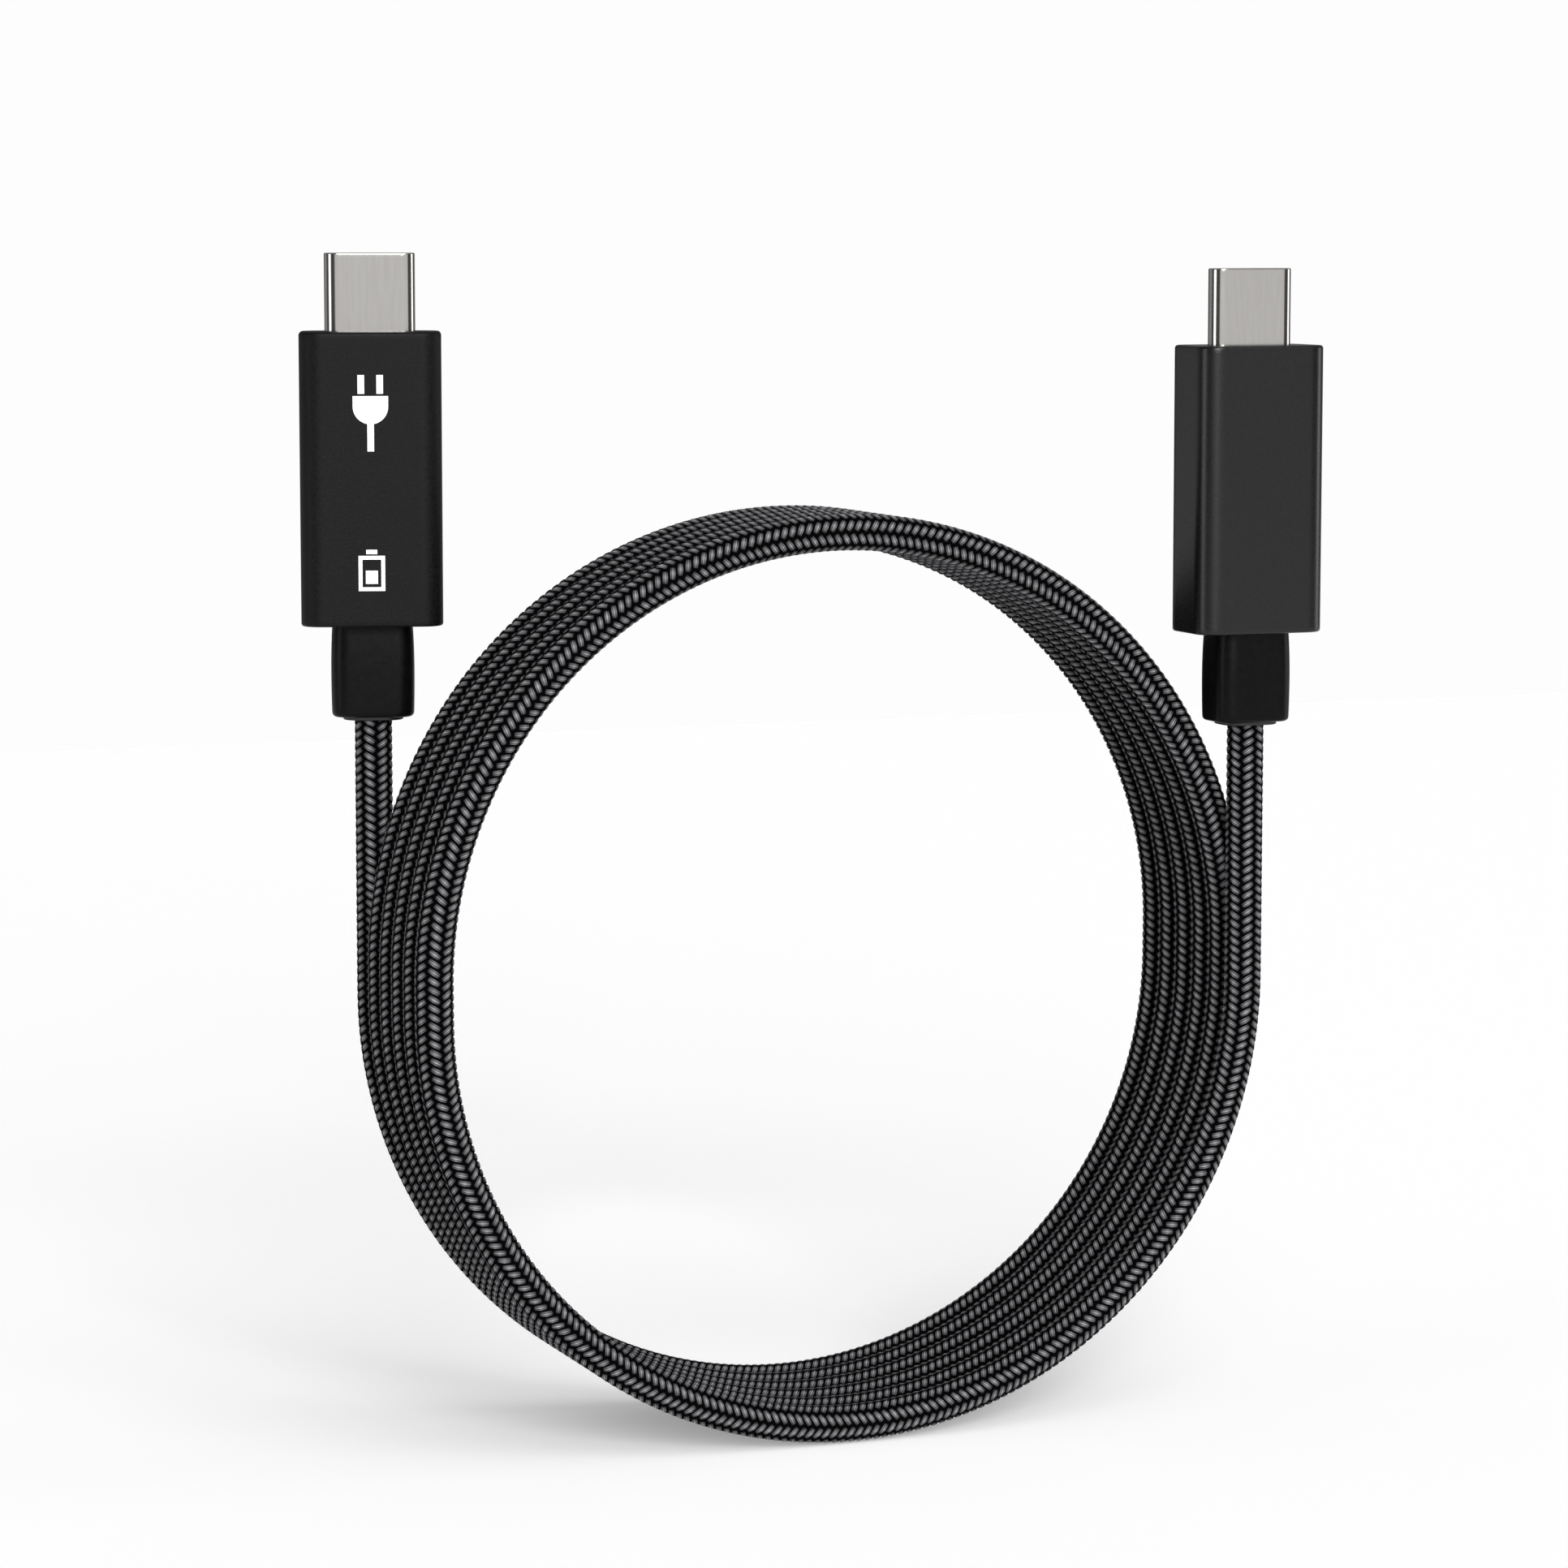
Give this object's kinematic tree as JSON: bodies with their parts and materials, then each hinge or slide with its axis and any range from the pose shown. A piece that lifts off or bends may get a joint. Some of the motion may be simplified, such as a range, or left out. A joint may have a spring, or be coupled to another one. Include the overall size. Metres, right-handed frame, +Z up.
{
  "type": "charging cable",
  "caption": "Black braided charging cable wound in an upright coil, with a flat metal-tipped plug standing up on a short straight lead at each side.",
  "frame": {"origin": "on the floor, at the middle of the coil's small flat foot", "axes": "+Z up, with both plugs pointing up; the coil's axis lies along Y; the right plug is at +X and the left plug at -X"},
  "size_m": [0.0926, 0.0289, 0.1095],
  "materials": {
    "braided_cord": "black nylon filament braid, two over two",
    "black_aluminium": "bead-blasted, black anodised",
    "boot_rubber": "satin moulded thermoplastic rubber",
    "collar_plastic": "moulded, matt",
    "mould_plastic": "moulded, matt",
    "plug_steel": "deep-drawn stainless steel, bright nickel finish",
    "carrier_plastic": "moulded glass-filled polymer, matt",
    "gold_contacts": "gold-plated copper alloy",
    "spring_steel": "stamped spring steel",
    "can_steel": "folded tin-plated steel",
    "circuit_board": "glass-epoxy laminate with green resist",
    "chip_plastic": "moulded epoxy package",
    "chip_capacitors": "fired ceramic with tinned ends",
    "jacket_plastic": "extruded elastomer",
    "shield_braid": "tinned copper braid",
    "white_wire": "extruded fluoropolymer",
    "red_wire": "extruded insulation",
    "blue_wire": "extruded insulation",
    "white_print": "pad-printed ink"
  },
  "bodies": {
    "root": {"coil": "braided_cord", "left_lead": "braided_cord", "right_lead": "braided_cord", "left_housing": "black_aluminium", "left_strain_relief": "boot_rubber", "left_end_collar": "collar_plastic", "left_inner_mould": "mould_plastic", "left_plug_shell": "plug_steel", "left_contact_carrier": "carrier_plastic", "left_front_contacts": "gold_contacts", "left_back_contacts": "gold_contacts", "left_latch_plate": "spring_steel", "left_ground_springs": "spring_steel", "left_front_can": "can_steel", "left_back_can": "can_steel", "left_circuit_card": "circuit_board", "left_marker_chip": "chip_plastic", "left_card_parts": "chip_capacitors", "left_crimp_ring": "can_steel", "left_braid_sleeve": "braided_cord", "left_cable_jacket": "jacket_plastic", "left_cable_shield": "shield_braid", "left_coax_wires": "white_wire", "left_power_wires": "red_wire", "left_data_wires": "blue_wire", "right_housing": "black_aluminium", "right_strain_relief": "boot_rubber", "right_end_collar": "collar_plastic", "right_inner_mould": "mould_plastic", "right_plug_shell": "plug_steel", "right_contact_carrier": "carrier_plastic", "right_front_contacts": "gold_contacts", "right_back_contacts": "gold_contacts", "right_latch_plate": "spring_steel", "right_ground_springs": "spring_steel", "right_front_can": "can_steel", "right_back_can": "can_steel", "right_circuit_card": "circuit_board", "right_marker_chip": "chip_plastic", "right_card_parts": "chip_capacitors", "right_crimp_ring": "can_steel", "right_braid_sleeve": "braided_cord", "right_cable_jacket": "jacket_plastic", "right_cable_shield": "shield_braid", "right_coax_wires": "white_wire", "right_power_wires": "red_wire", "right_data_wires": "blue_wire", "left_printed_marks": "white_print"}
  },
  "joints": []
}
